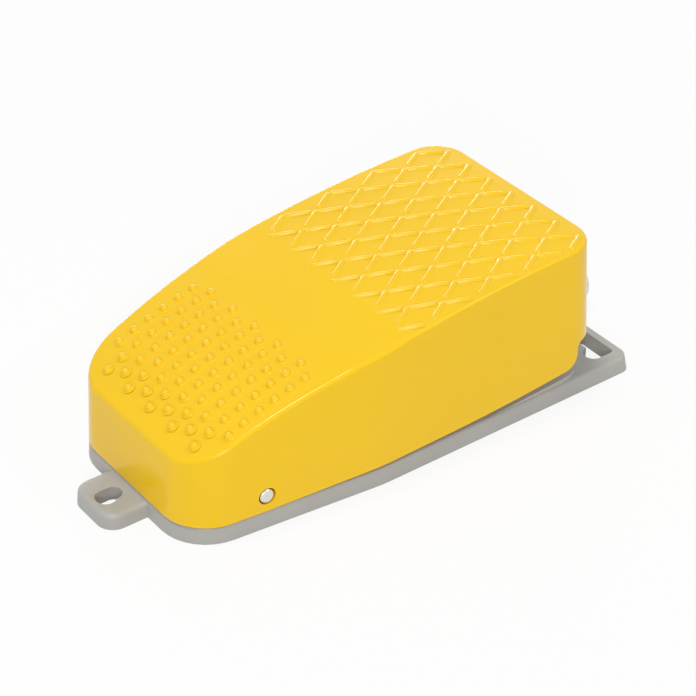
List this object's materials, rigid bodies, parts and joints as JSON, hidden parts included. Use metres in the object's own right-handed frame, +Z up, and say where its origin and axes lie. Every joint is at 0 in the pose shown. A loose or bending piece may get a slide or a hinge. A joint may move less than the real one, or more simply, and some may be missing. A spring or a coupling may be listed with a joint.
{
  "type": "industrial foot switch",
  "caption": "Industrial foot switch: die-cast base plate with slotted fixing lugs and a hinged, sprung cast pedal cover over a basic switch.",
  "frame": {"origin": "on the floor under the middle of the base, halfway between the front tab's tip and the rear edge", "axes": "+Z up, +Y along the base towards the cable entry, +X to the right when looking along +Y"},
  "size_m": [0.0828, 0.1994, 0.058],
  "materials": {
    "pedal_enamel": "glossy yellow enamel on a die casting",
    "base_paint": "satin light grey paint on a die casting",
    "bright_steel": "turned bright steel",
    "zinc_steel": "zinc plated steel",
    "spring_steel": "drawn spring wire",
    "plated_brass": "nickel plated brass",
    "brass": "plain brass",
    "rubber": "black rubber",
    "switch_moulding": "dark brown phenolic moulding",
    "black_moulding": "black moulding"
  },
  "bodies": {
    "base": {"base_casting": "base_paint", "pivot_pin": "bright_steel", "pin_clips": "zinc_steel", "switch_bracket": "zinc_steel", "bracket_screws": "zinc_steel", "switch_case": "switch_moulding", "switch_cap": "black_moulding", "plunger_collar": "bright_steel", "terminals": "brass", "terminal_screws": "zinc_steel", "switch_screws": "zinc_steel", "switch_nuts": "zinc_steel", "gland_body": "plated_brass", "gland_seal": "rubber", "gland_nut": "plated_brass", "cord_clamp": "zinc_steel", "clamp_screws": "zinc_steel", "earth_screw": "brass", "earth_washer": "brass", "return_spring_left": "spring_steel", "return_spring_right": "spring_steel"},
    "pedal": {"pedal_cover": "pedal_enamel", "adjusting_screw": "zinc_steel", "lock_nut": "zinc_steel"},
    "plunger": {"switch_plunger": "bright_steel"}
  },
  "joints": [
    {"name": "pedal_hinge", "type": "hinge", "parent": "base", "child": "pedal", "pos_m": [0, -0.052, 0.0118], "axis": [-1, 0, 0], "range_deg": [0, 1.4], "stiffness_Nm_per_rad": 74, "springref_deg": -1.26, "deforming": ["return_spring_left", "return_spring_right"]},
    {"name": "plunger_slide", "type": "slide", "parent": "base", "child": "plunger", "axis": [0, 0, -1], "range_m": [0, 0.00155]}
  ],
  "couplings": [
    {"joint": "plunger_slide", "follows": "pedal_hinge", "m_per_rad": 0.0635}
  ]
}
